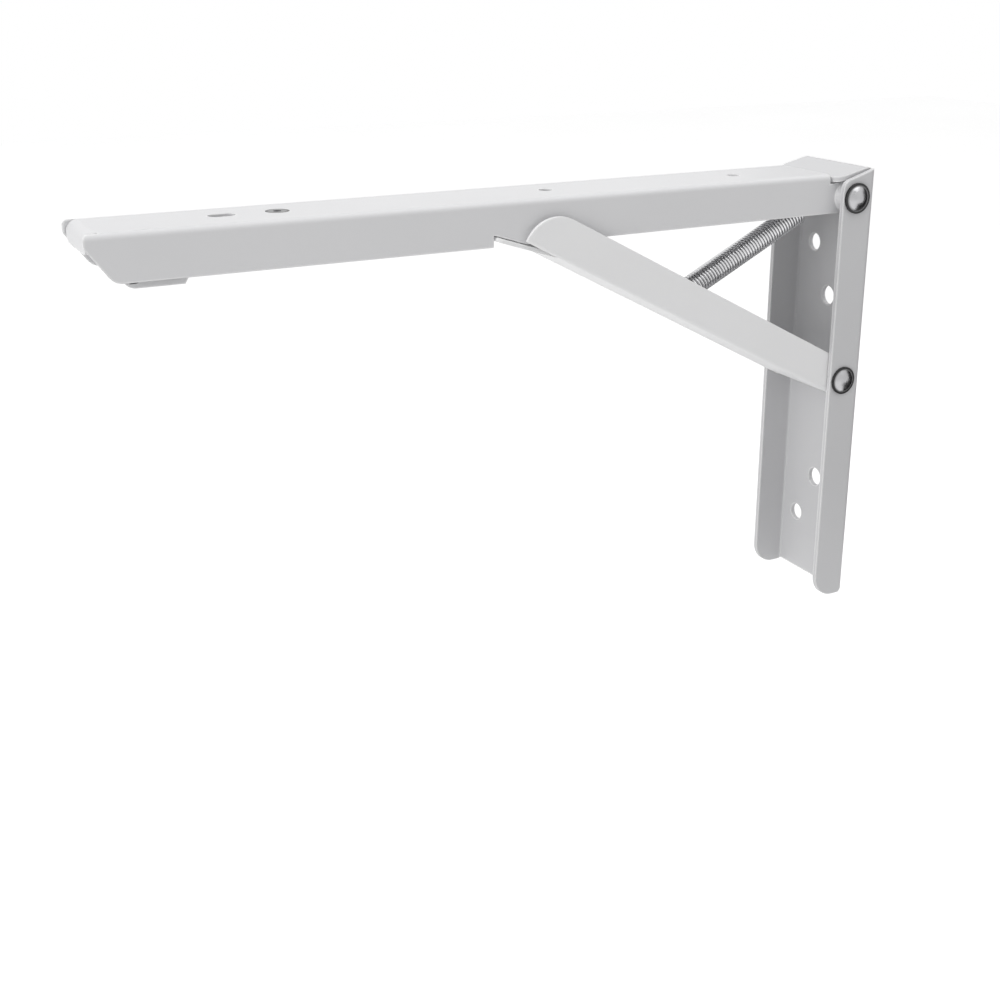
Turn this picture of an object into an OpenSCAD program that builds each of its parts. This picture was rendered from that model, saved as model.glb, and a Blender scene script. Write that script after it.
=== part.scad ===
// Folding shelf bracket, drawn open: the arm is level, the brace is locked under it.
// X runs along the wall, the wall is the plane y = 0, the arm reaches towards -Y.
// z = 0 is the top of the arm. All sizes in millimetres.

/* [Wall plate] */
// Width of the plate over its two flanges
plate_w = 45; // [44:0.5:60]
// Sheet thickness of the plate
plate_t = 2; // [1.5:0.1:2]
// Depth of the flanges from the wall
plate_depth = 16; // [14:0.5:18]
// Length of the plate's back below the top of the arm
plate_length = 180; // [165:1:230]
// Outer radius of the plate's bends
plate_bend = 3; // [2.5:0.1:4]
// How far the flanges run on below the back
flange_drop = 2; // [0:0.5:5]
// Radius of the flanges' lower front corner
flange_round = 9.5; // [4:0.5:12]
// Height of the flanges at the wall above the top of the arm
flange_top = 2.3; // [1:0.1:4]
// Slope of the flanges' upper edge
flange_slope = 17; // [10:1:22]
// Radius of the flanges' upper front corner
flange_nose = 3.6; // [1:0.5:6]

/* [Top tab] */
// Height of the tab at the wall above the top of the arm
tab_top = 2.8; // [2.7:0.1:3.2]
// Distance of the tab's front edge from the wall
tab_reach = 17.4; // [12:0.2:17.8]
// Slope of the tab
tab_slope = 12.5; // [11:0.5:13.5]
// Outer radius of the bend between the back and the tab
tab_bend = 2.1; // [2:0.1:2.2]
// Gap between the tab and each flange
tab_gap = 0.7; // [0.4:0.1:1.5]
// Radius of the tab's front corners
tab_corner = 5; // [1:0.5:8]
// How far the slots beside the tab run down
tab_slot = 5; // [3:0.5:8]

/* [Wall screw holes] */
// Diameter of the two middle screw holes
screw_hole = 8; // [5:0.1:9]
// Diameter of the four outer screw holes
corner_hole = 7.3; // [5:0.1:8]
// Spacing of the outer screw holes across the plate
corner_pitch = 22; // [16:0.5:24]
// Height of the upper outer holes below the arm
corner_high = 32.4; // [28:0.2:38]
// Height of the upper middle hole below the arm
screw_high = 53.3; // [46:0.2:60]
// Height of the lower middle hole below the arm
screw_low = 135; // [125:0.5:142]
// Height of the lower outer holes below the arm
corner_low = 155.2; // [148:0.2:160]

/* [Pivots] */
// Distance of both pivots from the wall
pivot_y = 9.5; // [9.3:0.1:10]
// Height of the arm's pivot below the top of the arm
arm_pivot = 9; // [8.8:0.1:9.4]
// Height of the brace's pivot below the top of the arm
brace_pivot = 84; // [76:0.5:90]
// Diameter of the hinge pin
pin_d = 5; // [4:0.1:5.5]
// Diameter of the brace rivets
rivet_d = 5; // [4:0.1:6]
// Radial running clearance of the pivots
run_fit = 0.06; // [0.02:0.01:0.1]
// Diameter of the hinge pin's heads
pin_head = 12; // [10:0.1:13.5]
// Height of the hinge pin's heads
pin_head_h = 3; // [2:0.1:4]
// Diameter of the brace rivets' outer heads
rivet_head = 11.5; // [9:0.1:13]
// Height of the brace rivets' outer heads
rivet_head_h = 2.2; // [1.5:0.1:3]
// Diameter of the brace rivets' inner heads
rivet_tail = 9; // [7:0.1:11]
// Gap left between pieces that pass each other
free_gap = 0.3; // [0.25:0.05:0.5]

/* [Arm] */
// Distance of the arm's tip from the wall
arm_reach = 307; // [285:1:360]
// Gap between the arm and each side of the brace
arm_gap = 2.2; // [1.9:0.1:4]
// Sheet thickness of the arm
arm_t = 1.5; // [1.2:0.1:1.8]
// Height of the arm
arm_h = 16; // [15.4:0.1:16.2]
// Outer radius of the arm's bends
arm_bend = 2.2; // [1.9:0.1:3]
// Gap between the tab and the web's end
web_gap = 1; // [0.8:0.1:4]
// Radius of the arm's ears round the hinge pin
ear_r = 6.4; // [5.5:0.1:6.5]
// Height of the blunt end of each side
nose_h = 4.4; // [2:0.2:8]
// Length of the sloping end of each side
nose_run = 8.3; // [5:0.1:14]
// Depth of the lip rolled down from the web's end
lip_h = 7; // [5:0.5:9]
// Outer radius of the roll
lip_bend = 4; // [2:0.5:4.5]
// How far the sides stand proud of the lip
lip_back = 0.8; // [0:0.1:2]
// Gap between the lip and each side
lip_gap = 0.8; // [0.5:0.1:3]

/* [Arm holes] */
// Diameter of the shelf screw holes
shelf_hole = 5; // [3.5:0.1:6]
// Distance of the first shelf screw hole from the wall
shelf_hole_1 = 54; // [40:1:60]
// Distance of the second shelf screw hole from the wall
shelf_hole_2 = 138; // [110:1:145]
// Width of the shelf screw slot
slot_w = 5.6; // [4:0.1:7]
// Length of the shelf screw slot
slot_l = 9.3; // [8:0.1:14]
// Distance of the shelf screw slot's middle from the arm's tip
slot_back = 48; // [47:0.5:50]

/* [Locking notch] */
// Distance of the notch's stop face from the wall
stop_y = 167.4; // [160:0.2:175]
// Height of the stop face
stop_h = 4.3; // [3:0.1:5]
// Slope of the notch's long face
notch_slope = 17.9; // [15:0.1:20]

/* [Brace] */
// Sheet thickness of the brace
brace_t = 1.5; // [1.2:0.1:1.7]
// Outer radius of the brace's bends
brace_bend = 1.9; // [1.8:0.1:3]
// Distance of the brace's open edge from its middle line
brace_open = 7.5; // [6:0.1:7.6]
// Distance of the brace's closed face from its middle line
brace_back = 7.2; // [6.8:0.1:7.2]
// Length of the brace behind its pivot
brace_end = 6.6; // [6:0.1:6.7]
// Length of the tongue
tongue_l = 25.6; // [20:0.1:32]
// Distance from the pivot to the start of the web
web_near = 4; // [3:0.5:8]
// How far the sides run on past the web
side_run = 15; // [8:0.5:18]
// Radius of the sides' upper corner
side_round = 14; // [6:0.5:14]
// Gap between the tongue and each side of the brace
tongue_gap = 1.1; // [0.9:0.1:4]
// Radius of the tongue's corners
tongue_corner = 3; // [0.5:0.5:6]

/* [Spring] */
// Outer diameter of the tension spring
spring_d = 9.4; // [7:0.1:10]
// Wire of the tension spring
spring_wire = 1.7; // [1.2:0.1:1.9]
// Coils of the tension spring
spring_coils = 27; // [20:1:28]
// Distance from the hinge pin to the first coil
spring_lead = 18.5; // [14:0.5:20]
// Distance from the brace's pivot to the spring's anchor along the brace
anchor_u = 80; // [76:0.5:84]
// Distance of the anchor below the brace's middle line
anchor_v = 0.4; // [0.2:0.1:0.6]
// Distance of the spring's middle line below the hinge pin
spring_drop = 2.2; // [1.6:0.1:2.4]

/* [Release bar] */
// Distance of the release bar's pivot from the arm's tip
fulcrum_back = 67; // [66:0.5:70]
// Height of the release bar's pivot below the top of the arm
fulcrum_z = 5.8; // [5.6:0.1:6]
// Diameter of the release bar's pin
release_pin_d = 3; // [2:0.1:3.2]
// Sheet thickness of the release bar
bar_t = 1.5; // [1:0.1:1.6]
// Depth of the release bar's rear end below the top of the arm
bar_rear_z = 6.5; // [5.6:0.1:7]
// Depth of the release bar's root at the finger tab
bar_root_z = 10.6; // [10.4:0.1:11.2]
// Width of the release bar
bar_w = 18; // [12:0.5:19]
// Width of the finger tab
finger_w = 26; // [16:0.5:28]
// Depth of the finger tab below the top of the arm
finger_low = 18.6; // [17:0.1:20]
// Length of the finger tab
finger_l = 20; // [12:0.5:21]
// How far the release bar reaches past the stop face
bar_over = 2.4; // [1:0.1:6]
// Diameter of the rivet that holds the fulcrum bracket
fulcrum_rivet_d = 4; // [3:0.1:5]
// Diameter of that rivet's head
fulcrum_head = 8.2; // [6:0.1:9]

/* [Hidden] */
$fn = 64;
paint = [0.80, 0.80, 0.81];
steel = [0.62, 0.62, 0.64];
seat_gap = 0.03;

plate_in = plate_w / 2 - plate_t;
brace_half = plate_in - free_gap;
brace_w = 2 * brace_half;
brace_in = brace_half - brace_t;
tongue_half = brace_in - tongue_gap;
arm_half = brace_in - arm_gap;
arm_w = 2 * arm_half;
arm_in = arm_half - arm_t;
web_start = tab_reach + web_gap;
boss_end = plate_in - free_gap;

// The brace is as long and tilted as puts its tongue along the notch's sloping face, short of the stop.
notch_y = stop_y - stop_h / tan(notch_slope);
tongue_y = stop_y - free_gap - tongue_l * cos(notch_slope);
tongue_z = (tongue_y - notch_y) * tan(notch_slope) - (free_gap + brace_t) / cos(notch_slope) - arm_h;
tongue_span = norm([tongue_y - pivot_y, tongue_z + brace_pivot]);
brace_web = sqrt(tongue_span * tongue_span - brace_back * brace_back);
brace_tilt = atan2(tongue_z + brace_pivot, tongue_y - pivot_y) + atan2(brace_back, brace_web);
tongue_bend = brace_tilt - notch_slope;
side_end = brace_web + side_run;

coil_r = (spring_d - spring_wire) / 2;
coil_pitch = spring_wire + 0.08;
coil_l = spring_coils * coil_pitch;
pin_hook_r = pin_d / 2 + 0.1 + spring_wire / 2;
strap_half = 1.25;
strap_t = 1.5;
anchor_hook_r = norm([strap_half, strap_t / 2]) + 2 * free_gap + spring_wire / 2;
anchor = [pivot_y + anchor_u * cos(brace_tilt) + anchor_v * sin(brace_tilt),
    anchor_u * sin(brace_tilt) - anchor_v * cos(brace_tilt) - brace_pivot];
anchor_span = norm(anchor - [pivot_y, -arm_pivot]);
anchor_run = sqrt(anchor_span * anchor_span - spring_drop * spring_drop);
spring_tilt = atan2(-arm_pivot - anchor[1], anchor[0] - pivot_y) - asin(spring_drop / anchor_span);

fulcrum_y = arm_reach - fulcrum_back;
finger_front = arm_reach - 11;
finger_back = finger_front - finger_l;
bar_root = finger_back - 4.5;
bar_rear = fulcrum_y - stop_y + bar_over;
bracket_t = 1.2;
sink_h = 1.1;
lug_out = bar_w / 2;
bracket_in = lug_out + free_gap;
bracket_out = bracket_in + bracket_t;
coil_seat = bar_root - 5.5;
bar_slope = atan2(bar_root_z - bar_rear_z, bar_root - fulcrum_y + bar_rear);
coil_foot = -bar_rear_z + bar_t - (coil_seat + 3 - fulcrum_y + bar_rear) * tan(bar_slope) + free_gap;

function unit(a) = a / norm(a);
function half_turn(p, q, s) = acos(max(-1, min(1, unit(p - q) * unit(s - q)))) / 2;
function towards(p, q, s, r) = q + unit(p - q) * r / tan(half_turn(p, q, s));
function centre_of(p, q, s, r) = q + unit(unit(p - q) + unit(s - q)) * r / sin(half_turn(p, q, s));

// Outline whose convex corners are rounded by true arcs. A radius of 0 leaves a corner sharp.
module rounded(points, radii) {
    n = len(points);
    polygon([for (i = [0 : n - 1])
        for (k = [0 : (radii[i] > 0 ? 1 : 0)])
            k == 0 ? towards(points[(i + n - 1) % n], points[i], points[(i + 1) % n], radii[i])
                : towards(points[(i + 1) % n], points[i], points[(i + n - 1) % n], radii[i])]);
    for (i = [0 : n - 1])
        if (radii[i] > 0)
            translate(centre_of(points[(i + n - 1) % n], points[i], points[(i + 1) % n], radii[i]))
                circle(radii[i]);
}

// Folded sheet seen end on: the closed side lies along y = 0 and the two sides stand up from it.
module channel(w, d, t, r) {
    difference() {
        rounded([[-w / 2, 0], [w / 2, 0], [w / 2, d], [-w / 2, d]], [r, r, 0, 0]);
        rounded([[-w / 2 + t, t], [w / 2 - t, t], [w / 2 - t, d + 1], [-w / 2 + t, d + 1]],
            [r - t, r - t, 0, 0]);
    }
}

// Outline in distance from the wall and height, carried across the bracket.
module side_on(w) {
    rotate([90, 0, -90])
        linear_extrude(w, center = true)
            children();
}

// Rod along X between two distances from the middle.
module across(y, z, x1, x2, r) {
    translate([x1, -y, z])
        rotate([0, 90, 0])
            cylinder(h = x2 - x1, r = r);
}

module upright(x, y, z1, z2, r) {
    translate([x, -y, z1])
        cylinder(h = z2 - z1, r = r);
}

module wall_hole(x, z, d) {
    translate([x, 1, z])
        rotate([90, 0, 0])
            cylinder(h = plate_t + 2, r = d / 2);
}

// Domed rivet head standing on z = 0: a flat rim with a dome on it.
module rivet_dome(d, h) {
    rim = 0.3 * h;
    dome = 0.4 * d;
    rise = h - rim;
    ball = (dome * dome + rise * rise) / (2 * rise);
    cylinder(h = rim, r = d / 2);
    intersection() {
        translate([0, 0, h - ball])
            sphere(ball);
        cylinder(h = h + 1, r = dome);
    }
}

module wall_plate() {
    flange_low = -plate_length - flange_drop;
    color(paint)
        difference() {
            union() {
                intersection() {
                    translate([0, 0, flange_low - 1])
                        linear_extrude(plate_length + flange_drop + 10)
                            mirror([0, 1])
                                channel(plate_w, plate_depth + 1, plate_t, plate_bend);
                    side_on(plate_w + 2)
                        rounded([[0, -plate_length], [3, flange_low], [plate_depth, flange_low],
                            [plate_depth, flange_top - plate_depth * tan(flange_slope)], [0, flange_top]],
                            [0, 1.5, flange_round, flange_nose, 1]);
                }
            }
            translate([-plate_in, -plate_bend - 0.5, -tab_slot])
                cube([2 * plate_in, plate_bend + 1.5, tab_slot + 10]);
            for (x = [-1, 1]) {
                wall_hole(x * corner_pitch / 2, -corner_high, corner_hole);
                wall_hole(x * corner_pitch / 2, -corner_low, corner_hole);
            }
            wall_hole(0, -screw_high, screw_hole);
            wall_hole(0, -screw_low, screw_hole);
            across(pivot_y, -arm_pivot, -plate_w, plate_w, pin_d / 2 + seat_gap);
            across(pivot_y, -brace_pivot, -plate_w, plate_w, rivet_d / 2 + seat_gap);
        }
    color(paint)
        top_tab();
}

module top_tab() {
    tab_half = plate_in - tab_gap;
    front_z = tab_top - tab_reach * tan(tab_slope);
    intersection() {
        side_on(2 * tab_half)
            rounded([[0, -tab_slot - 1], [0, tab_top], [tab_reach, front_z],
                [tab_reach - plate_t * sin(tab_slope), front_z - plate_t * cos(tab_slope)],
                [plate_t, tab_top - plate_t * (1 / cos(tab_slope) + tan(tab_slope))],
                [plate_t, -tab_slot - 1]],
                [0, tab_bend, 0.4, 0, 0, 0]);
        translate([0, 0, -20])
            linear_extrude(40)
                mirror([0, 1])
                    rounded([[-tab_half, -1], [tab_half, -1], [tab_half, tab_reach], [-tab_half, tab_reach]],
                        [0, 0, tab_corner, tab_corner]);
    }
}

module arm_side() {
    neck_z = tab_top - web_start * tan(tab_slope) - plate_t / cos(tab_slope) - 2 * free_gap;
    rounded([[web_start, 0], [arm_reach, 0], [arm_reach, -nose_h], [arm_reach - nose_run, -arm_h],
        [stop_y, -arm_h], [stop_y, stop_h - arm_h], [notch_y, -arm_h], [pivot_y, -arm_pivot - ear_r],
        [pivot_y, ear_r - arm_pivot], [web_start, neck_z]],
        [0, 2, 1, 5, 0.5, 0, 0.5, 0, 0, 0]);
    translate([pivot_y, -arm_pivot])
        circle(ear_r);
}

module arm_boss(grow, x1, x2) {
    translate([x1, -pivot_y, -arm_pivot])
        rotate([0, 90, 0])
            cylinder(h = x2 - x1, r1 = ear_r - 0.2 - grow, r2 = ear_r - 1.8 - grow);
}

// Lip rolled down from the web's end, between the sides.
module arm_lip(start) {
    lip_half = arm_in - lip_gap;
    front = start + lip_bend;
    intersection() {
        side_on(2 * lip_half)
            difference() {
                rounded([[start - 0.2, 0], [front, 0], [front, -lip_h], [start - 0.2, -lip_h]],
                    [0, lip_bend, 0, 0]);
                rounded([[start - 1, -arm_t], [front - arm_t, -arm_t], [front - arm_t, -lip_h - 1],
                    [start - 1, -lip_h - 1]], [0, lip_bend - arm_t, 0, 0]);
            }
        rotate([90, 0, 0])
            linear_extrude(arm_reach + 1)
                rounded([[-lip_half, 1], [lip_half, 1], [lip_half, -lip_h], [-lip_half, -lip_h]],
                    [0, 0, 3, 3]);
    }
}

module arm() {
    slot_y = arm_reach - slot_back;
    lip_start = arm_reach - lip_back - lip_bend;
    color(paint)
        difference() {
            union() {
                difference() {
                    intersection() {
                        rotate([90, 0, 0])
                            linear_extrude(arm_reach + 1)
                                mirror([0, 1])
                                    channel(arm_w, arm_h + 1, arm_t, arm_bend);
                        side_on(arm_w + 2)
                            arm_side();
                    }
                    translate([-arm_in, -arm_reach - 1, -arm_h])
                        cube([2 * arm_in, arm_reach + 1 - lip_start, arm_h + 1]);
                }
                arm_lip(lip_start);
                arm_boss(0, arm_half - 0.1, boss_end);
                mirror([1, 0, 0])
                    arm_boss(0, arm_half - 0.1, boss_end);
            }
            translate([-arm_in, -web_start, -arm_h])
                cube([2 * arm_in, web_start + 1, arm_h + 1]);
            arm_boss(1.2, arm_in - 0.1, boss_end - arm_t);
            mirror([1, 0, 0])
                arm_boss(1.2, arm_in - 0.1, boss_end - arm_t);
            across(pivot_y, -arm_pivot, -plate_w, plate_w, pin_d / 2 + run_fit);
            upright(0, shelf_hole_1, -arm_t - 1, 1, shelf_hole / 2);
            upright(0, shelf_hole_2, -arm_t - 1, 1, shelf_hole / 2);
            upright(0, fulcrum_y, -arm_t - 1, 1, fulcrum_rivet_d / 2 + seat_gap);
            rivet_sink(seat_gap, 1);
            for (k = [-1, 1])
                upright(0, slot_y + k * (slot_l - slot_w) / 2, -arm_t - 1, 1, slot_w / 2);
            translate([-slot_w / 2, -slot_y - (slot_l - slot_w) / 2, -arm_t - 1])
                cube([slot_w, slot_l - slot_w, arm_t + 2]);
        }
}

// Places a piece that is drawn along the brace from its pivot.
module on_brace() {
    translate([0, -pivot_y, -brace_pivot])
        rotate([-brace_tilt, 0, 0])
            children();
}

module tongue() {
    low = [brace_web + tongue_l * cos(tongue_bend), -brace_back - tongue_l * sin(tongue_bend)];
    high = low + brace_t * [sin(tongue_bend), cos(tongue_bend)];
    intersection() {
        side_on(2 * tongue_half)
            rounded([[brace_web - 1, -brace_back], [brace_web, -brace_back], low, high,
                [brace_web + brace_t * tan(tongue_bend / 2), brace_t - brace_back],
                [brace_web - 1, brace_t - brace_back]], [0, 0, 0, 0, 0, 0]);
        translate([0, 0, -2 * brace_back - 10])
            linear_extrude(2 * brace_back + 10)
                mirror([0, 1])
                    rounded([[-tongue_half, brace_web - 2], [tongue_half, brace_web - 2],
                        [tongue_half, high[0]], [-tongue_half, high[0]]],
                        [0, 0, tongue_corner, tongue_corner]);
    }
}

// Strap welded on the web, that the spring hooks round.
module anchor_strap() {
    low = brace_t - brace_back - 0.1;
    top = strap_t / 2 - anchor_v;
    translate([0, -anchor_u + strap_half, 0])
        rotate([90, 0, 0])
            linear_extrude(2 * strap_half)
                polygon([[-8, low], [-5.5, top], [5.5, top], [8, low], [6.2, low], [4.9, top - strap_t],
                    [-4.9, top - strap_t], [-6.2, low]]);
}

module brace() {
    corner = min(side_round, brace_back + brace_open - 0.6);
    color(paint)
        on_brace() {
            difference() {
                intersection() {
                    translate([0, 20, -brace_back])
                        rotate([90, 0, 0])
                            linear_extrude(side_end + 30)
                                channel(brace_w, brace_back + brace_open + 1, brace_t, brace_bend);
                    side_on(brace_w + 2)
                        rounded([[-brace_end, -brace_back], [side_end, -brace_back], [side_end, brace_open],
                            [-brace_end, brace_open]], [brace_back - 0.2, 0.4, corner, brace_open + 0.1]);
                }
                translate([-brace_in, -web_near, -20])
                    cube([2 * brace_in, 40, 40]);
                translate([-brace_in, -side_end - 20, -20])
                    cube([2 * brace_in, side_end + 20 - brace_web, 40]);
                across(0, 0, -plate_w, plate_w, rivet_d / 2 + run_fit);
            }
            tongue();
            anchor_strap();
        }
}

module hinge_pin() {
    color(steel) {
        across(pivot_y, -arm_pivot, -plate_w / 2, plate_w / 2, pin_d / 2);
        for (x = [0, 1])
            mirror([x, 0, 0])
                translate([plate_w / 2, -pivot_y, -arm_pivot])
                    rotate([0, 90, 0])
                        rivet_dome(pin_head, pin_head_h);
    }
}

module brace_rivet() {
    tail_in = arm_half + 0.5;
    tail_out = brace_in - 0.15;
    across(pivot_y, -brace_pivot, tail_in, plate_w / 2, rivet_d / 2);
    across(pivot_y, -brace_pivot, tail_in, tail_out, rivet_tail / 2);
    translate([plate_w / 2, -pivot_y, -brace_pivot])
        rotate([0, 90, 0])
            rivet_dome(rivet_head, rivet_head_h);
}

module brace_rivet_near() {
    color(steel)
        brace_rivet();
}

module brace_rivet_far() {
    color(steel)
        mirror([1, 0, 0])
            brace_rivet();
}

// Places a piece that is drawn along the spring from the hinge pin.
module on_spring() {
    translate([0, -pivot_y, -arm_pivot])
        rotate([spring_tilt, 0, 0])
            children();
}

// Open wire ring round the X direction, from one angle on through another.
module wire_ring(s, n, r, from, turn) {
    translate([0, -s, n])
        rotate([0, 90, 0])
            rotate([0, 0, from])
                rotate_extrude(angle = turn)
                    translate([r, 0])
                        circle(spring_wire / 2);
}

module along(s1, s2, n, r) {
    translate([0, -s1, n])
        rotate([90, 0, 0])
            cylinder(h = s2 - s1, r = r);
}

module spring() {
    color(steel)
        on_spring() {
            translate([0, -spring_lead, -spring_drop])
                rotate([90, 0, 0])
                    rotate_extrude() {
                        for (i = [0 : spring_coils - 1])
                            translate([coil_r, (i + 0.5) * coil_pitch])
                                circle(spring_wire / 2);
                        translate([coil_r - 0.25, 0.5 * coil_pitch])
                            square([0.5, coil_l - coil_pitch]);
                    }
            along(pin_hook_r, spring_lead + spring_wire / 2, 0, spring_wire / 2);
            translate([0, -spring_lead - coil_pitch / 2, 0])
                cylinder(h = coil_r - spring_drop, r = spring_wire / 2);
            wire_ring(0, 0, pin_hook_r, -90, 270);
        }
}

module spring_hook() {
    last = spring_lead + coil_l + 0.5 * coil_pitch;
    color(steel)
        on_spring() {
            translate([0, -last, -spring_drop])
                rotate([90, 0, 0])
                    rotate_extrude()
                        translate([coil_r, 0])
                            circle(spring_wire / 2);
            translate([0, -last, -spring_drop])
                cylinder(h = coil_r, r = spring_wire / 2);
            along(last - spring_wire / 4, anchor_run - anchor_hook_r, -spring_drop, spring_wire / 2);
            wire_ring(anchor_run, -spring_drop, anchor_hook_r, -90, 270);
        }
}

// Tray under the tip that a finger lifts, with a step down to it from the bar.
module finger_tab() {
    rim = -arm_h + 3;
    side_on(finger_w)
        polygon([[bar_root, -bar_root_z], [finger_back, -finger_low], [finger_back + 3, -finger_low],
            [finger_back + 3, bar_t - finger_low], [finger_back + 1.4, bar_t - finger_low],
            [bar_root + 1.6, bar_t - bar_root_z], [bar_root, bar_t - bar_root_z]]);
    difference() {
        side_on(finger_w)
            rounded([[finger_back, -finger_low], [finger_front, -finger_low], [finger_front, rim],
                [finger_back - 2.5, rim]], [0, 4.5, 0, 0]);
        side_on(finger_w - 2 * bar_t)
            rounded([[finger_back - 5, bar_t - finger_low], [finger_front - bar_t, bar_t - finger_low],
                [finger_front - bar_t, rim + 1], [finger_back - 5, rim + 1]], [0, 4.5 - bar_t, 0, 0]);
        side_on(finger_w + 2)
            rounded([[finger_front - 5.4, 1.5 - finger_low], [finger_front - 2.1, 1.5 - finger_low],
                [finger_front - 2.1, rim + 1], [finger_front - 5.4, rim + 1]], [1, 1, 0, 0]);
    }
}

module release_bar() {
    rear = fulcrum_y - bar_rear;
    color(steel) {
        difference() {
            union() {
                side_on(bar_w)
                    polygon([[rear, -bar_rear_z], [bar_root + 1, -bar_root_z],
                        [bar_root + 1, bar_t - bar_root_z], [rear, bar_t - bar_rear_z]]);
                for (x = [0, 1])
                    mirror([x, 0, 0])
                        translate([lug_out - bar_t / 2, 0, 0])
                            side_on(bar_t) {
                                translate([fulcrum_y, -fulcrum_z])
                                    circle(2.4);
                                translate([fulcrum_y - 2.4, -fulcrum_z - 3])
                                    square([4.8, 3]);
                            }
            }
            across(fulcrum_y, -fulcrum_z, -arm_w, arm_w, release_pin_d / 2 + run_fit);
        }
        finger_tab();
    }
}

module fulcrum_bracket() {
    color(steel)
        difference() {
            union() {
                translate([-bracket_out, -fulcrum_y - 8, -arm_t - bracket_t])
                    cube([2 * bracket_out, 16, bracket_t]);
                for (x = [0, 1])
                    mirror([x, 0, 0])
                        translate([bracket_in + bracket_t / 2, 0, 0])
                            side_on(bracket_t) {
                                translate([fulcrum_y, -fulcrum_z])
                                    circle(2.8);
                                translate([fulcrum_y - 2.8, -fulcrum_z])
                                    square([5.6, fulcrum_z - arm_t - 0.2]);
                            }
            }
            across(fulcrum_y, -fulcrum_z, -arm_w, arm_w, release_pin_d / 2 + seat_gap);
            upright(0, fulcrum_y, -arm_t - bracket_t - 1, 1, fulcrum_rivet_d / 2 + seat_gap);
        }
}

// Sunk head of the rivet that holds the fulcrum bracket, or the seat for it.
module rivet_sink(grow, above) {
    translate([0, -fulcrum_y, -sink_h])
        cylinder(h = sink_h, r1 = fulcrum_head / 2 - sink_h + grow, r2 = fulcrum_head / 2 + grow);
    if (above > 0)
        upright(0, fulcrum_y, -0.01, above, fulcrum_head / 2 + grow);
}

module fulcrum_rivet() {
    low = -arm_t - bracket_t;
    color(steel)
        difference() {
            union() {
                upright(0, fulcrum_y, low - 0.8, -0.5, fulcrum_rivet_d / 2);
                upright(0, fulcrum_y, low - 0.8, low, fulcrum_rivet_d / 2 + 1);
                rivet_sink(0, 0);
            }
            upright(0, fulcrum_y, -1, 1, fulcrum_rivet_d / 2 - 0.6);
        }
}

module release_pin() {
    color(steel) {
        across(fulcrum_y, -fulcrum_z, -bracket_out, bracket_out, release_pin_d / 2);
        for (x = [0, 1])
            mirror([x, 0, 0])
                across(fulcrum_y, -fulcrum_z, bracket_out, bracket_out + 0.8, release_pin_d / 2 + 0.5);
    }
}

module release_spring() {
    turns = 5;
    wire = 0.9;
    step = (-arm_t - coil_foot - wire) / (turns - 1);
    color(steel)
        translate([0, -coil_seat, coil_foot])
            rotate_extrude() {
                for (i = [0 : turns - 1])
                    translate([2.55, wire / 2 + i * step])
                        circle(wire / 2);
                translate([2.4, wire / 2])
                    square([0.3, -arm_t - coil_foot - wire]);
            }
}

wall_plate();
arm();
brace();
hinge_pin();
brace_rivet_near();
brace_rivet_far();
spring();
spring_hook();
release_bar();
fulcrum_bracket();
fulcrum_rivet();
release_pin();
release_spring();
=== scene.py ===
# Folding shelf bracket, drawn open: powder coat, riveted pivots, wire springs and a pale studio.
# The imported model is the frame. Sizes are in metres, the wall is the plane y = 0, the arm reaches to -Y.
import math

import bpy
from bpy.props import FloatProperty, FloatVectorProperty, IntProperty, PointerProperty
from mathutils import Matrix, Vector


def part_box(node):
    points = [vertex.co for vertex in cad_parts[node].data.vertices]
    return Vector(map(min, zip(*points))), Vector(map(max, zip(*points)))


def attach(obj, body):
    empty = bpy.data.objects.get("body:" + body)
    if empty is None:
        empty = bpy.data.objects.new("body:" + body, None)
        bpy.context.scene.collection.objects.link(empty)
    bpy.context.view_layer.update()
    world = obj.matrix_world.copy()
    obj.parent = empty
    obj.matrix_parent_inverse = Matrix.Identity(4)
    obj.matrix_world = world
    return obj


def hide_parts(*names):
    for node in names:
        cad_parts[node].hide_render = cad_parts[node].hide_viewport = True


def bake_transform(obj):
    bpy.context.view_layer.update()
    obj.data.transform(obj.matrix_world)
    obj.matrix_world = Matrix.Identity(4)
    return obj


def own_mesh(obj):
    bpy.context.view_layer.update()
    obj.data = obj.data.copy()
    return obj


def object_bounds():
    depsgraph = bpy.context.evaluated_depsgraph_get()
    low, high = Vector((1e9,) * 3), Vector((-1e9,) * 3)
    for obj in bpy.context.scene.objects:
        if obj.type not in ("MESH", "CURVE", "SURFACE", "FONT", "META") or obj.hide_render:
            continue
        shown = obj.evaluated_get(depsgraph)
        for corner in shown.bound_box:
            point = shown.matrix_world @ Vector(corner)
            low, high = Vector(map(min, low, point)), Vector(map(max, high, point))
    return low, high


bl_info = {
    "name": "Folding shelf bracket",
    "version": (1, 0, 0),
    "blender": (4, 5, 0),
    "location": "View3D > Sidebar > Bracket",
    "description": "Powder coat, rivets and wire springs of a folding shelf bracket, and a pale studio",
    "category": "Object",
}

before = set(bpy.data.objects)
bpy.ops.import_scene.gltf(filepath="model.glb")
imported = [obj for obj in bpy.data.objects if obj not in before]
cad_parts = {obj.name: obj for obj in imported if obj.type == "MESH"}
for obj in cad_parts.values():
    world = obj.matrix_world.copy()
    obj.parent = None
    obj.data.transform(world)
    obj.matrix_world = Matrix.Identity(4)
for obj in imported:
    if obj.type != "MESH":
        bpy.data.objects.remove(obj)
CAD_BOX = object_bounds()


def middle(node):
    low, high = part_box(node)
    return (Vector(low) + Vector(high)) / 2


def half_size(node, axis):
    low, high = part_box(node)
    return (high[axis] - low[axis]) / 2


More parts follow.
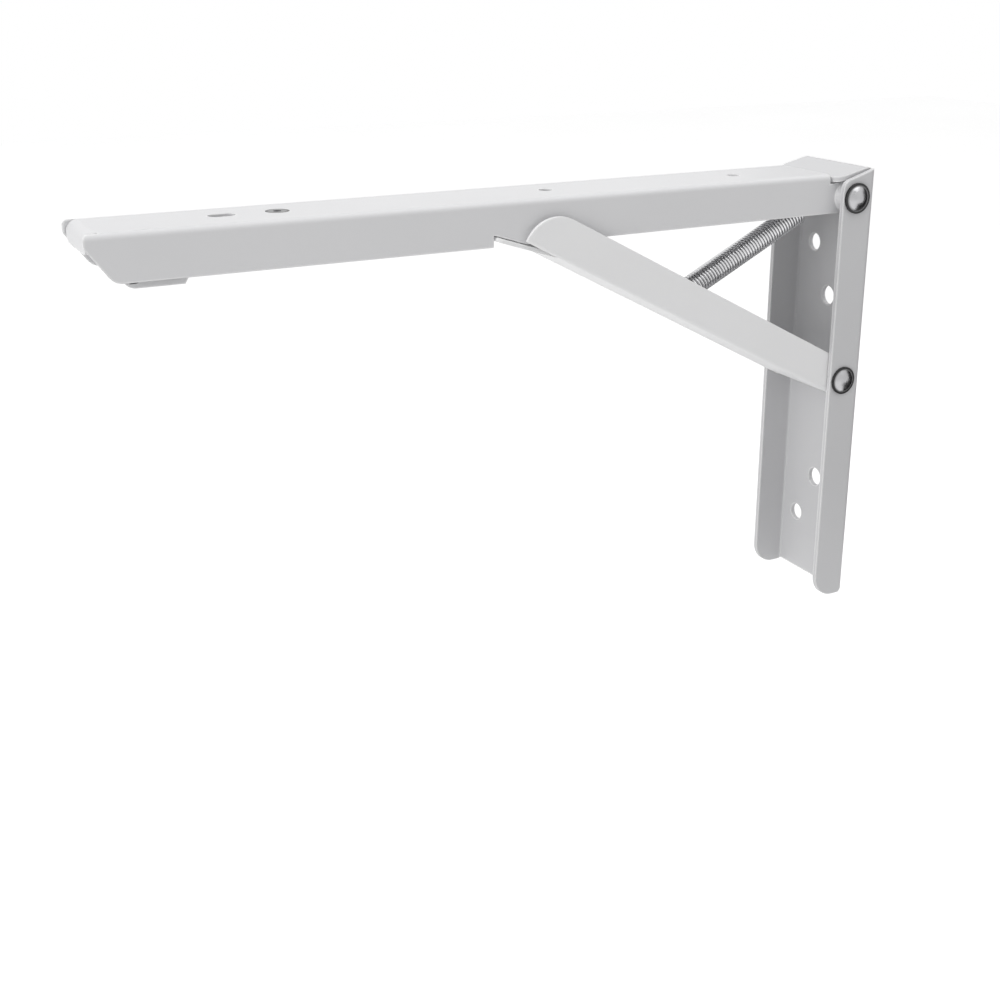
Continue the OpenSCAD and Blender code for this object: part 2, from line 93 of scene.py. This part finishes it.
# Places and sizes of what the springs and rivets sit on
PIN = middle("hinge_pin")
PIN_RADIUS = 0.0025
PIN_GAP = 0.0001
STRAP_HALF_WIDTH = 0.00125
STRAP_HALF_THICKNESS = 0.00075
STRAP_GAP = 0.0006
BRACE_PIVOT = Vector((0.0, middle("brace_rivet_near").y, middle("brace_rivet_near").z))
RELEASE_LOW, RELEASE_HIGH = (Vector(v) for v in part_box("release_spring"))

# Points of a drawn wire in one turn, and turns of the release spring
TURN_STEPS = 20
RELEASE_TURNS = 5

# Studio: the lights stand and aim at places measured from the middle of the object
FLOOR_SIZE = 6.0
FLOOR_DROP = 0.01
OVERHEAD_PLACE = Vector((0.14, 0.25, 1.25))
OVERHEAD_SIZE = 1.4
FRONT_PLACE = Vector((0.2, -1.4, 0.45))
FRONT_TARGET = Vector((0.0, 0.1, -0.05))
FRONT_SIZE = 0.9


class BracketFinish(bpy.types.PropertyGroup):
    """Colours and surface of the bracket"""
    paint: FloatVectorProperty(
        name="Arm coat", description="Colour of the painted arm and release bar", subtype="COLOR", size=3,
        min=0.0, max=1.0, default=(0.73, 0.73, 0.74))
    # Painted light: the brace wears the arm's powder coat made lighter, standing in for the light that falls
    # on it.
    brace_paint_lit: FloatVectorProperty(
        name="Brace coat", description="Colour of the painted brace", subtype="COLOR", size=3,
        min=0.0, max=1.0, default=(0.89, 0.89, 0.895))
    # Painted shade: the wall plate wears the arm's powder coat made darker, standing in for the shade it
    # stands in.
    plate_paint_shaded: FloatVectorProperty(
        name="Plate coat", description="Colour of the painted wall plate", subtype="COLOR", size=3,
        min=0.0, max=1.0, default=(0.63, 0.63, 0.64))
    paint_gloss: FloatProperty(
        name="Paint roughness", description="Roughness of the powder coat", subtype="FACTOR",
        min=0.05, max=1.0, default=0.42)
    grain: FloatProperty(
        name="Powder grain", description="Width of the ripples in the powder coat", unit="LENGTH",
        min=0.0002, max=0.01, precision=5, default=0.0011)
    edge: FloatProperty(
        name="Edge radius", description="Radius of the coat over the sheet's cut edges", unit="LENGTH",
        min=0.0, max=0.002, precision=5, default=0.0005)
    bright: FloatVectorProperty(
        name="Rivet steel", description="Colour of the polished rivets", subtype="COLOR", size=3,
        min=0.0, max=1.0, default=(0.50, 0.50, 0.51))
    spring: FloatVectorProperty(
        name="Spring wire", description="Colour of the spring wire", subtype="COLOR", size=3,
        min=0.0, max=1.0, default=(0.74, 0.74, 0.75))
    plain: FloatVectorProperty(
        name="Plain steel", description="Colour of the small zinc-plated parts", subtype="COLOR", size=3,
        min=0.0, max=1.0, default=(0.46, 0.46, 0.47))


class BracketSprings(bpy.types.PropertyGroup):
    """Sizes of the two wire springs"""
    wire: FloatProperty(
        name="Wire", description="Wire diameter of the tension spring", unit="LENGTH",
        min=0.001, max=0.0019, precision=5, default=0.00122)
    width: FloatProperty(
        name="Width", description="Outer diameter of the tension spring", unit="LENGTH",
        min=0.006, max=0.011, precision=5, default=0.0094)
    turns: IntProperty(
        name="Turns", description="Turns of the tension spring", min=20, max=46, default=44)
    pitch: FloatProperty(
        name="Pitch", description="Distance from turn to turn", unit="LENGTH",
        min=0.001, max=0.002, precision=5, default=0.00132)
    lead: FloatProperty(
        name="Lead", description="Distance from the hinge pin to the first turn", unit="LENGTH",
        min=0.012, max=0.022, precision=5, default=0.0140)
    drop: FloatProperty(
        name="Drop", description="Distance of the turns' middle line below the hinge pin", unit="LENGTH",
        min=0.001, max=0.003, precision=5, default=0.0022)
    tilt: FloatProperty(
        name="Tilt", description="Fall of the tension spring", subtype="ANGLE", default=math.radians(26.567))
    reach: FloatProperty(
        name="Reach", description="Distance from the hinge pin to the brace's strap along the spring",
        unit="LENGTH", min=0.07, max=0.09, precision=5, default=0.08035)
    small_wire: FloatProperty(
        name="Small wire", description="Wire diameter of the release spring", unit="LENGTH",
        min=0.0005, max=0.0012, precision=5, default=0.0009)


class BracketStudio(bpy.types.PropertyGroup):
    """Camera and light"""
    camera_place: FloatVectorProperty(
        name="Camera", description="Place of the camera", subtype="TRANSLATION", size=3,
        default=(0.4671, -0.3906, 0.0799))
    camera_turn: FloatVectorProperty(
        name="Camera turn", description="Rotation of the camera", subtype="EULER", size=3,
        default=(math.radians(69.201), math.radians(-0.313), math.radians(61.060)))
    focal: FloatProperty(
        name="Focal length", description="Focal length for a sensor 36 mm wide", unit="CAMERA",
        min=10.0, max=200.0, default=51.45)
    shift: FloatProperty(
        name="Shift", description="Sideways shift of the picture, in picture widths",
        min=-0.2, max=0.2, default=-0.06)
    sky: FloatProperty(
        name="Surrounding light", description="Strength of the even light from all round",
        min=0.0, max=2.0, default=0.5)
    overhead: FloatProperty(
        name="Overhead light", description="Power of the soft light above", unit="POWER",
        min=0.0, max=60.0, default=9.2)
    front: FloatProperty(
        name="Front light", description="Power of the soft light in front of the tip", unit="POWER",
        min=0.0, max=60.0, default=7.5)
    floor_lift: FloatProperty(
        name="Floor lift", description="Light that the floor adds where the camera or metal sees it",
        min=0.0, max=1.0, default=0.56)


# Materials

def node_tree(name):
    material = bpy.data.materials.new(name)
    material.use_nodes = True
    tree = material.node_tree
    tree.nodes.clear()
    output = tree.nodes.new("ShaderNodeOutputMaterial")
    output.location = (900, 0)
    shader = tree.nodes.new("ShaderNodeBsdfPrincipled")
    shader.location = (600, 0)
    tree.links.new(shader.outputs["BSDF"], output.inputs["Surface"])
    return material, tree, shader


def add(tree, kind, place, settings=(), **values):
    node = tree.nodes.new(kind)
    node.location = place
    for key, value in dict(settings).items():
        setattr(node, key, value)
    for key, value in values.items():
        node.inputs[key.replace("_", " ")].default_value = value
    return node


def noise(tree, source, place, size, detail, rough):
    node = add(tree, "ShaderNodeTexNoise", place, Scale=1.0 / size, Detail=detail, Roughness=rough)
    tree.links.new(source, node.inputs["Vector"])
    return node.outputs["Fac"]


def spread(tree, source, place, low, high, start=0.3, end=0.7):
    """Value that runs from low to high while the source runs from start to end."""
    node = add(tree, "ShaderNodeMapRange", place, From_Min=start, From_Max=end, To_Min=low, To_Max=high)
    tree.links.new(source, node.inputs["Value"])
    return node.outputs["Result"]


def mix(tree, factor, place, first, second):
    """Mix of two colours, each of them a plain colour or a socket that gives one."""
    node = add(tree, "ShaderNodeMix", place, {"data_type": "RGBA"})
    tree.links.new(factor, node.inputs[0])
    for colour, entry in ((first, node.inputs[6]), (second, node.inputs[7])):
        if isinstance(colour, bpy.types.NodeSocket):
            tree.links.new(colour, entry)
        else:
            entry.default_value = (*colour, 1.0)
    return node.outputs[2]


def object_coordinates(tree, place):
    return add(tree, "ShaderNodeTexCoord", place).outputs["Object"]


def rounded(tree, place, radius):
    """Normal that runs smoothly over the edges, within a radius."""
    return add(tree, "ShaderNodeBevel", place, {"samples": 6}, Radius=radius).outputs["Normal"]


def bumps(tree, place, height, normal, strength, distance):
    node = add(tree, "ShaderNodeBump", place, Strength=strength, Distance=distance)
    tree.links.new(height, node.inputs["Height"])
    tree.links.new(normal, node.inputs["Normal"])
    return node.outputs["Normal"]


def cut_edges(tree, reach):
    """Mask of the painted edge highlight: one along the sheet's edges, nought on its faces."""
    flat = add(tree, "ShaderNodeNewGeometry", (-650, -700))
    turn = add(tree, "ShaderNodeVectorMath", (-150, -600), {"operation": "DOT_PRODUCT"})
    tree.links.new(rounded(tree, (-400, -650), reach), turn.inputs[0])
    tree.links.new(flat.outputs["Normal"], turn.inputs[1])
    return spread(tree, turn.outputs["Value"], (50, -600), low=1.0, high=0.0, start=0.9, end=0.998)


def powder_coat(name, colour, roughness, grain, edge):
    """Satin powder coat: fine ripples, a soft skin over the cut edges, and a nearly white colour there as a
    painted highlight.
    """
    cloud_size = 0.06
    ripple_height = 0.00006
    edge_white = 0.85
    edge_reach = 2.2
    cloud_lift = 1.03
    gloss_change = 0.05
    material, tree, shader = node_tree(name)
    place = object_coordinates(tree, (-900, 0))
    ripple = noise(tree, place, (-650, -250), size=grain, detail=2.0, rough=0.45)
    cloud = noise(tree, place, (-650, 50), size=cloud_size, detail=3.0, rough=0.55)
    speck = noise(tree, place, (-650, 350), size=0.35 * grain, detail=1.0, rough=0.5)
    skin = rounded(tree, (-400, -500), edge)
    tree.links.new(bumps(tree, (-150, -300), ripple, skin, strength=0.16, distance=ripple_height),
        shader.inputs["Normal"])
    pale = tuple(min(1.0, cloud_lift * c) for c in colour)
    # Painted highlight: the coat turns nearly white along the cut edges, where light catches them.
    edge_highlight = tuple(c + edge_white * (1.0 - c) for c in colour)
    body = mix(tree, spread(tree, cloud, (-400, 100), 0.0, 1.0), (-150, 100), colour, pale)
    tree.links.new(mix(tree, cut_edges(tree, edge_reach * edge), (150, 100), body, edge_highlight),
        shader.inputs["Base Color"])
    gloss = spread(tree, speck, (-400, 350), roughness - gloss_change, roughness + gloss_change)
    tree.links.new(gloss, shader.inputs["Roughness"])
    shader.inputs["Specular IOR Level"].default_value = 0.45
    return material


def turned_lines(tree, centred, axis, grain):
    """Fine rings round an axis, about two grains apart, as a turned or drawn face has them."""
    lines = add(tree, "ShaderNodeTexWave", (-650, -250), {"wave_type": "RINGS", "rings_direction": axis},
        Scale=1.0 / (6.0 * grain), Distortion=0.8, Detail=2.0, Detail_Scale=1.5)
    tree.links.new(centred, lines.inputs["Vector"])
    return lines.outputs["Fac"]


def shaded_rim(tree, centred, axis, rim, steel):
    """Steel that turns dark towards the rim of a head: painted shade of the gap round the head."""
    # Near-black colour of the painted shade at the rim.
    rim_shade = (0.03, 0.03, 0.03)
    across = add(tree, "ShaderNodeVectorMath", (-650, 500), {"operation": "MULTIPLY"})
    across.inputs[1].default_value = (0.0, 1.0, 1.0) if axis == "X" else (1.0, 1.0, 0.0)
    tree.links.new(centred, across.inputs[0])
    radius = add(tree, "ShaderNodeVectorMath", (-450, 600), {"operation": "LENGTH"})
    tree.links.new(across.outputs["Vector"], radius.inputs[0])
    ring = spread(tree, radius.outputs["Value"], (-250, 600), low=0.0, high=0.95, start=0.72 * rim,
        end=0.88 * rim)
    return mix(tree, ring, (150, 100), steel, rim_shade)


def metal(name, colour, roughness, grain, depth, edge, centre=None, rim=None, axis="X"):
    """Bare or plated steel, with fine rings round an axis and painted shade darkening the rim if a centre and
    rim are given.
    """
    line_height = 0.00004
    shade = 0.86
    material, tree, shader = node_tree(name)
    place = object_coordinates(tree, (-1100, 0))
    patch = noise(tree, place, (-650, 100), size=9.0 * grain, detail=3.0, rough=0.6)
    steel = mix(tree, spread(tree, patch, (-400, 100), 0.0, 1.0), (-150, 100),
        tuple(shade * c for c in colour), colour)
    if centre is None:
        height = noise(tree, place, (-650, -250), size=grain, detail=3.0, rough=0.6)
    else:
        shifted = add(tree, "ShaderNodeMapping", (-900, 0), Location=-centre)
        tree.links.new(place, shifted.inputs["Vector"])
        centred = shifted.outputs["Vector"]
        height = turned_lines(tree, centred, axis, grain)
        # Painted shade: the steel darkens towards the head's rim.
        steel = shaded_rim(tree, centred, axis, rim, steel)
    skin = rounded(tree, (-400, -500), edge)
    tree.links.new(bumps(tree, (-150, -300), height, skin, depth, line_height), shader.inputs["Normal"])
    tree.links.new(steel, shader.inputs["Base Color"])
    gloss = spread(tree, patch, (-400, 350), low=roughness - 0.03, high=roughness + 0.07)
    tree.links.new(gloss, shader.inputs["Roughness"])
    shader.inputs["Metallic"].default_value = 1.0
    return material


def wear(obj, material):
    obj.data.materials.clear()
    obj.data.materials.append(material)


# Modelling

def only(obj):
    bpy.ops.object.select_all(action="DESELECT")
    obj.select_set(True)
    bpy.context.view_layer.objects.active = obj


def wire_through(name, points, thickness, sides):
    """Round wire through the points: a vertex is drawn out along them, then the path gets its thickness."""
    weld = 0.00001
    bpy.ops.object.select_all(action="DESELECT")
    bpy.ops.mesh.primitive_plane_add(size=0.001, location=points[0])
    wire = bpy.context.active_object
    bpy.ops.object.transform_apply(location=True, rotation=True, scale=True)
    bpy.ops.object.mode_set(mode="EDIT")
    bpy.ops.mesh.select_mode(type="VERT")
    bpy.ops.mesh.select_all(action="SELECT")
    bpy.ops.mesh.merge(type="CENTER")
    for here, there in zip(points, points[1:]):
        bpy.ops.mesh.extrude_region_move(TRANSFORM_OT_translate={"value": there - here})
    bpy.ops.object.mode_set(mode="OBJECT")
    only(wire)
    bpy.ops.object.convert(target="CURVE")
    path = wire.data
    path.dimensions = "3D"
    path.bevel_depth = thickness / 2
    path.bevel_resolution = sides
    path.use_fill_caps = True
    bpy.ops.object.convert(target="MESH")
    wire = bpy.context.active_object
    wire.name = name
    bpy.ops.object.mode_set(mode="EDIT")
    bpy.ops.mesh.select_all(action="SELECT")
    bpy.ops.mesh.remove_doubles(threshold=weld)
    bpy.ops.mesh.normals_make_consistent(inside=False)
    bpy.ops.object.mode_set(mode="OBJECT")
    bpy.ops.object.shade_smooth_by_angle(angle=math.radians(50))
    return wire


def round_bend(centre, radius, start, end, steps):
    """Points of an arc in the spring's own plane, given in distance and height, from one angle to another."""
    angles = (start + (end - start) * i / steps for i in range(steps + 1))
    return [(0.0, centre[0] + radius * math.cos(angle), centre[1] + radius * math.sin(angle))
        for angle in angles]


def sweep_between(a, b, c, d, steps=12):
    """Points of a smooth run from a to d, without its ends, with handles at b and c."""
    points = []
    for i in range(1, steps):
        t = i / steps
        u = 1 - t
        points.append(tuple(u ** 3 * p + 3 * u * u * t * q + 3 * u * t * t * r + t ** 3 * s
            for p, q, r, s in zip(a, b, c, d)))
    return points


def pin_hook(half):
    """Ring round the hinge pin and the bend that leads from it on to the pin's level."""
    bend = 0.002
    tip = math.radians(-290)
    ring = PIN_RADIUS + PIN_GAP + half
    away = math.sqrt(ring ** 2 + 2 * ring * bend)
    touch = math.atan2(-bend, away)
    points = round_bend((0.0, 0.0), ring, tip, touch, steps=40)
    points += round_bend((away, -bend), bend, math.pi + touch, math.pi / 2, steps=10)[1:]
    return points


def strap_hook(half, reach, height):
    """Bend off the middle line and half a ring under the brace's strap, open on the release bar's side."""
    bend = 0.0016
    tip = 0.0
    ring = math.hypot(STRAP_HALF_WIDTH, STRAP_HALF_THICKNESS) + STRAP_GAP + half
    away = math.sqrt(ring ** 2 + 2 * ring * bend)
    touch = math.atan2(-bend, -away)
    points = round_bend((reach - away, height - bend), bend, math.pi / 2, touch + math.pi, steps=8)
    points += round_bend((reach, height), ring, touch, tip, steps=24)[1:]
    return points


def moved(point, along=0.0, up=0.0):
    x, distance, height = point
    return (x, distance + along, height + up)


def tension_path(sizes):
    """Middle line of the tension spring's wire, hook to hook, as (x, distance from the pin, height)."""
    straight = 0.004
    run_in = 0.0038
    run_out = 0.0046
    half = sizes.wire / 2
    radius = (sizes.width - sizes.wire) / 2
    level = -sizes.drop
    first = (-radius, sizes.lead, level)
    last = moved(first, along=sizes.turns * sizes.pitch)
    enter = (0.0, sizes.lead - run_in, 0.0)
    leave = (0.0, last[1] + run_out, level)
    points = pin_hook(half)
    points += [moved(enter, along=-straight), enter]
    points += sweep_between(enter, moved(enter, along=0.0026), moved(first, along=-0.0003, up=0.0022), first)
    for i in range(sizes.turns * TURN_STEPS + 1):
        turn = i / TURN_STEPS
        angle = math.pi + 2 * math.pi * turn
        points.append((radius * math.cos(angle), sizes.lead + sizes.pitch * turn,
            radius * math.sin(angle) + level))
    points += sweep_between(last, moved(last, along=0.0004, up=-0.0024), moved(leave, along=-0.003), leave)
    points.append(leave)
    points += strap_hook(half, sizes.reach, level)
    return points


def on_spring(point, tilt):
    x, distance, height = point
    return PIN + Vector((x, -distance * math.cos(tilt) - height * math.sin(tilt),
        height * math.cos(tilt) - distance * math.sin(tilt)))


def spaced(points, least=0.00005):
    """The points without those that lie closer than a least distance to the one before."""
    kept = [points[0]]
    for point in points[1:]:
        if (point - kept[-1]).length > least:
            kept.append(point)
    return kept


def release_path(centre, wire):
    """Middle line of the release spring's wire, with a closed turn at each end."""
    half = wire / 2
    radius = (RELEASE_HIGH.x - RELEASE_LOW.x) / 2 - half
    low = RELEASE_LOW.z + half
    height = RELEASE_HIGH.z - half - low
    closed = 0.95 * wire
    rise = (height - 2 * closed) / (RELEASE_TURNS - 2)
    points = []
    for i in range(RELEASE_TURNS * TURN_STEPS + 1):
        turn = i / TURN_STEPS
        if turn < 1:
            climb = closed * turn
        elif turn > RELEASE_TURNS - 1:
            climb = height - closed * (RELEASE_TURNS - turn)
        else:
            climb = closed + rise * (turn - 1)
        angle = 2 * math.pi * turn
        points.append(Vector((centre.x + radius * math.cos(angle), centre.y + radius * math.sin(angle),
            low + climb)))
    return points


class BRACKET_OT_paint(bpy.types.Operator):
    """Coat the plate, arm, brace and release bar"""
    bl_idname = "bracket.paint"
    bl_label = "Powder coat"

    def execute(self, context):
        finish = context.scene.bracket_finish
        # The brace's coat is painted lighter and the plate's coat painted darker than the arm's: painted
        # light and shade on one powder coat.
        coats = (("arm_coat", finish.paint, ("arm", "release_bar")),
            ("brace_coat_painted_light", finish.brace_paint_lit, ("brace",)),
            ("plate_coat_painted_shade", finish.plate_paint_shaded, ("wall_plate",)))
        for name, colour, nodes in coats:
            coat = powder_coat(name, tuple(colour), finish.paint_gloss, finish.grain, finish.edge)
            for node in nodes:
                wear(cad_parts[node], coat)
        return {"FINISHED"}


class BRACKET_OT_rivets(bpy.types.Operator):
    """Finish the hinge pin, the brace rivets and the small parts of the release"""
    bl_idname = "bracket.rivets"
    bl_label = "Rivets and small parts"

    def execute(self, context):
        finish = context.scene.bracket_finish
        plain = tuple(finish.plain)
        head = {"colour": tuple(finish.bright), "roughness": 0.27, "grain": 0.0005, "depth": 0.3,
            "edge": 0.0003}
        pin = metal("pin_steel", **head, centre=PIN, rim=half_size("hinge_pin", 2))
        rivet = metal("rivet_steel", **head, centre=BRACE_PIVOT, rim=half_size("brace_rivet_near", 2))
        small = metal("zinc_steel", plain, roughness=0.34, grain=0.0006, depth=0.2, edge=0.0002)
        flush = metal("flush_rivet_steel", tuple(0.5 * c for c in plain), roughness=0.3, grain=0.0005,
            depth=0.3, edge=0.0002, centre=middle("fulcrum_rivet"), rim=half_size("fulcrum_rivet", 0),
            axis="Z")
        worn_by = (("hinge_pin", pin), ("brace_rivet_near", rivet), ("brace_rivet_far", rivet),
            ("fulcrum_bracket", small), ("release_pin", small), ("fulcrum_rivet", flush))
        for node, steel in worn_by:
            wear(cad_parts[node], steel)
        return {"FINISHED"}


class BRACKET_OT_tension_spring(bpy.types.Operator):
    """Wind the tension spring with a hook at each end"""
    bl_idname = "bracket.tension_spring"
    bl_label = "Tension spring"

    def execute(self, context):
        sizes = context.scene.bracket_springs
        finish = context.scene.bracket_finish
        points = spaced([on_spring(point, sizes.tilt) for point in tension_path(sizes)])
        wire = wire_through("tension_spring", points, sizes.wire, sides=4)
        wear(wire, metal("spring_wire", tuple(finish.spring), roughness=0.1, grain=0.0005, depth=0.1,
            edge=0.0001))
        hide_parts("spring", "spring_hook")
        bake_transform(wire)
        return {"FINISHED"}


class BRACKET_OT_release_spring(bpy.types.Operator):
    """Wind the small compression spring over the release bar"""
    bl_idname = "bracket.release_spring"
    bl_label = "Release spring"

    def execute(self, context):
        sizes = context.scene.bracket_springs
        finish = context.scene.bracket_finish
        centre = middle("release_spring")
        wire = wire_through("small_spring", release_path(centre, sizes.small_wire), sizes.small_wire, sides=2)
        wear(wire, metal("small_spring_wire", tuple(finish.plain), roughness=0.28, grain=0.0005, depth=0.15,
            edge=0.0001))
        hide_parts("release_spring")
        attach(wire, "arm_body")
        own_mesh(wire)
        return {"FINISHED"}


class BRACKET_OT_studio(bpy.types.Operator):
    """Set the floor, the surrounding light, the soft lights and the camera"""
    bl_idname = "bracket.studio"
    bl_label = "Studio"

    def execute(self, context):
        studio = context.scene.bracket_studio
        scene = context.scene
        scene.view_settings.view_transform = "Standard"
        low, high = (Vector(v) for v in CAD_BOX)
        centre = (low + high) / 2
        lay_floor(low, studio.floor_lift)
        world = bpy.data.worlds.new("surround")
        scene.world = world
        world.use_nodes = True
        even_light(world.node_tree, studio.sky)
        soft_light("overhead", centre + OVERHEAD_PLACE, centre, OVERHEAD_SIZE, studio.overhead)
        soft_light("front", centre + FRONT_PLACE, centre + FRONT_TARGET, FRONT_SIZE, studio.front)
        cloth = black_card_cloth()
        dark_card("card_behind", place=Vector((-0.25, 0.6, 0.0)), target=Vector((0.0, -90.0, 0.0)),
            size=(1.2, 0.55), cloth=cloth)
        dark_card("card_below", place=Vector((-0.1, 0.33, low.z)), target=Vector((-0.1, 0.33, 90.0)),
            size=(0.7, 0.55), cloth=cloth)
        scene.camera = set_camera(studio)
        return {"FINISHED"}


# Studio

def lay_floor(low, lift):
    """Floor just below the folded arm, which hangs as far down as the open arm reaches out."""
    bpy.ops.object.select_all(action="DESELECT")
    bpy.ops.mesh.primitive_plane_add(size=FLOOR_SIZE, location=(0.0, low.y / 2, low.y - FLOOR_DROP))
    floor = bpy.context.active_object
    floor.name = "floor"
    bpy.ops.object.transform_apply(location=True, rotation=True, scale=True)
    wear(floor, pale_floor(lift))


def seen_straight(tree, place):
    """One where the camera, a reflection or glass looks at a surface, nought where light only falls on it."""
    rays = add(tree, "ShaderNodeLightPath", place)
    seen = rays.outputs["Is Camera Ray"]
    for step, kind in enumerate(("Is Glossy Ray", "Is Transmission Ray"), start=1):
        either = add(tree, "ShaderNodeMath", (place[0] + 200 * step, place[1]), {"operation": "MAXIMUM"})
        tree.links.new(seen, either.inputs[0])
        tree.links.new(rays.outputs[kind], either.inputs[1])
        seen = either.outputs["Value"]
    return seen


def pale_floor(lift):
    """Pale matt floor that shows white to the camera and to metal, and keeps the shadow."""
    material, tree, shader = node_tree("pale_floor")
    shader.inputs["Roughness"].default_value = 0.9
    shader.inputs["Specular IOR Level"].default_value = 0.1
    place = object_coordinates(tree, (-700, 0))
    cloud = noise(tree, place, (-500, 0), size=0.4, detail=2.0, rough=0.5)
    tree.links.new(mix(tree, spread(tree, cloud, (-250, 0), 0.0, 1.0), (0, 0), (0.80, 0.80, 0.80),
        (0.82, 0.82, 0.82)), shader.inputs["Base Color"])
    glow = add(tree, "ShaderNodeMath", (600, -400), {"operation": "MULTIPLY"})
    tree.links.new(seen_straight(tree, (0, -400)), glow.inputs[0])
    glow.inputs[1].default_value = lift
    shader.inputs["Emission Color"].default_value = (1.0, 1.0, 1.0, 1.0)
    tree.links.new(glow.outputs["Value"], shader.inputs["Emission Strength"])
    return material


def even_light(tree, strength):
    """Even light all round, and plain white where the camera or metal sees it."""
    tree.nodes.clear()
    output = tree.nodes.new("ShaderNodeOutputWorld")
    output.location = (700, 0)
    glow = add(tree, "ShaderNodeBackground", (500, 0), Color=(1.0, 1.0, 1.0, 1.0))
    level = add(tree, "ShaderNodeMapRange", (300, 0), To_Min=strength, To_Max=1.0)
    tree.links.new(seen_straight(tree, (-300, 0)), level.inputs["Value"])
    tree.links.new(level.outputs["Result"], glow.inputs["Strength"])
    tree.links.new(glow.outputs["Background"], output.inputs["Surface"])


def black_card_cloth():
    """Black studio card, with the faint mottle of felt."""
    material, tree, shader = node_tree("black_card")
    place = object_coordinates(tree, (-700, 0))
    felt = noise(tree, place, (-500, 0), size=0.01, detail=3.0, rough=0.6)
    tree.links.new(mix(tree, spread(tree, felt, (-250, 0), 0.0, 1.0), (0, 0), (0.01, 0.01, 0.01),
        (0.02, 0.02, 0.02)), shader.inputs["Base Color"])
    shader.inputs["Roughness"].default_value = 0.95
    shader.inputs["Specular IOR Level"].default_value = 0.0
    return material


def dark_card(name, place, target, size, cloth):
    """Card outside the picture that gives the polished metal something dark to show."""
    bpy.ops.object.select_all(action="DESELECT")
    bpy.ops.mesh.primitive_plane_add(size=1.0, location=place,
        rotation=(target - place).to_track_quat("Z", "Y").to_euler())
    card = bpy.context.active_object
    card.name = name
    card.scale = (*size, 1.0)
    bpy.ops.object.transform_apply(location=True, rotation=True, scale=True)
    card.visible_camera = False
    card.visible_diffuse = False
    card.visible_shadow = False
    wear(card, cloth)


def soft_light(name, place, target, size, power):
    bpy.ops.object.light_add(type="AREA", location=place)
    lamp = bpy.context.active_object
    lamp.name = name
    lamp.rotation_euler = (target - place).to_track_quat("-Z", "Y").to_euler()
    lamp.data.shape = "SQUARE"
    lamp.data.size = size
    lamp.data.energy = power


def set_camera(studio):
    bpy.ops.object.camera_add(location=studio.camera_place, rotation=studio.camera_turn)
    camera = bpy.context.active_object
    camera.name = "camera"
    camera.data.sensor_width = 36.0
    camera.data.lens = studio.focal
    camera.data.shift_x = studio.shift
    camera.data.clip_start = 0.01
    camera.data.clip_end = 20.0
    return camera


class BRACKET_PT_panel(bpy.types.Panel):
    """Sizes, colours and steps of the bracket"""
    bl_idname = "BRACKET_PT_panel"
    bl_label = "Folding shelf bracket"
    bl_space_type = "VIEW_3D"
    bl_region_type = "UI"
    bl_category = "Bracket"

    def draw(self, context):
        layout = self.layout
        scene = context.scene
        groups = (("Finish", scene.bracket_finish), ("Springs", scene.bracket_springs),
            ("Studio", scene.bracket_studio))
        for title, group in groups:
            box = layout.box()
            box.label(text=title)
            for key in group.__annotations__:
                box.prop(group, key)
        for step in STEPS:
            layout.operator(step.bl_idname)


GROUPS = (BracketFinish, BracketSprings, BracketStudio)
STEPS = (BRACKET_OT_paint, BRACKET_OT_rivets, BRACKET_OT_tension_spring, BRACKET_OT_release_spring,
    BRACKET_OT_studio)


def register():
    for item in (*GROUPS, *STEPS, BRACKET_PT_panel):
        bpy.utils.register_class(item)
    bpy.types.Scene.bracket_finish = PointerProperty(type=BracketFinish)
    bpy.types.Scene.bracket_springs = PointerProperty(type=BracketSprings)
    bpy.types.Scene.bracket_studio = PointerProperty(type=BracketStudio)


def unregister():
    del bpy.types.Scene.bracket_studio
    del bpy.types.Scene.bracket_springs
    del bpy.types.Scene.bracket_finish
    for item in reversed((*GROUPS, *STEPS, BRACKET_PT_panel)):
        bpy.utils.unregister_class(item)


def main():
    register()
    bpy.ops.bracket.paint()
    bpy.ops.bracket.rivets()
    bpy.ops.bracket.tension_spring()
    bpy.ops.bracket.release_spring()
    bpy.ops.bracket.studio()


if __name__ == "__main__":
    main()
